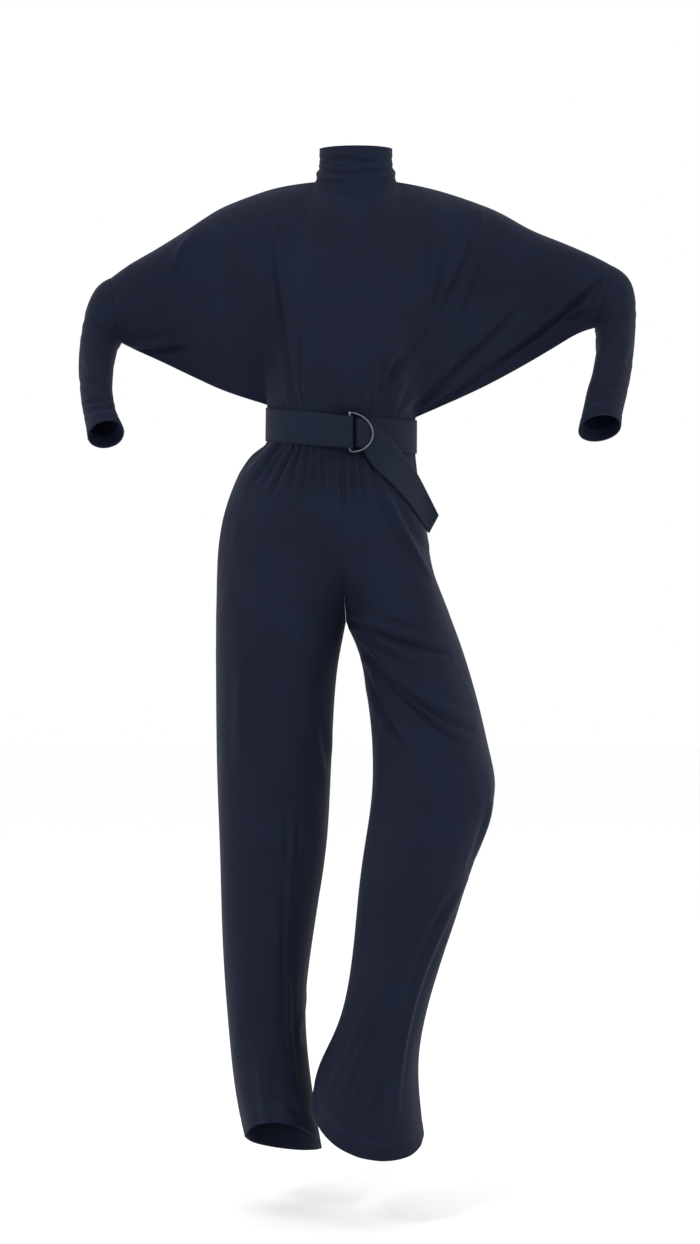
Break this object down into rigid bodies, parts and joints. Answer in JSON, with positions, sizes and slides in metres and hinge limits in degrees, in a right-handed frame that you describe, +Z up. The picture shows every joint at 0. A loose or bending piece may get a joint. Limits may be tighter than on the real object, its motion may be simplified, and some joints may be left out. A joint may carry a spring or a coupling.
{
  "type": "jumpsuit",
  "caption": "Dark jersey jumpsuit held as worn: high folded collar, batwing sleeves, sash belt closed with D-rings, wide trousers with one knee bent.",
  "frame": {"origin": "middle of the shoulder line, where the wearer's shoulders carry the garment", "axes": "+Z up along the garment, -Y out of its front, +X to the wearer's left"},
  "size_m": [0.8334, 0.3683, 1.5191],
  "materials": {
    "jersey": "matt blue-black knitted jersey",
    "belt_jersey": "the same jersey, doubled and pressed flat",
    "ring_metal": "satin grey plated wire"
  },
  "bodies": {
    "root": {"bodice_front": "jersey", "bodice_back": "jersey", "sleeve_right": "jersey", "sleeve_left": "jersey", "collar": "jersey", "trouser_front_right": "jersey", "trouser_back_right": "jersey", "trouser_front_left": "jersey", "trouser_back_left": "jersey", "belt": "belt_jersey", "d_ring_inner": "ring_metal", "d_ring_outer": "ring_metal"}
  },
  "joints": []
}
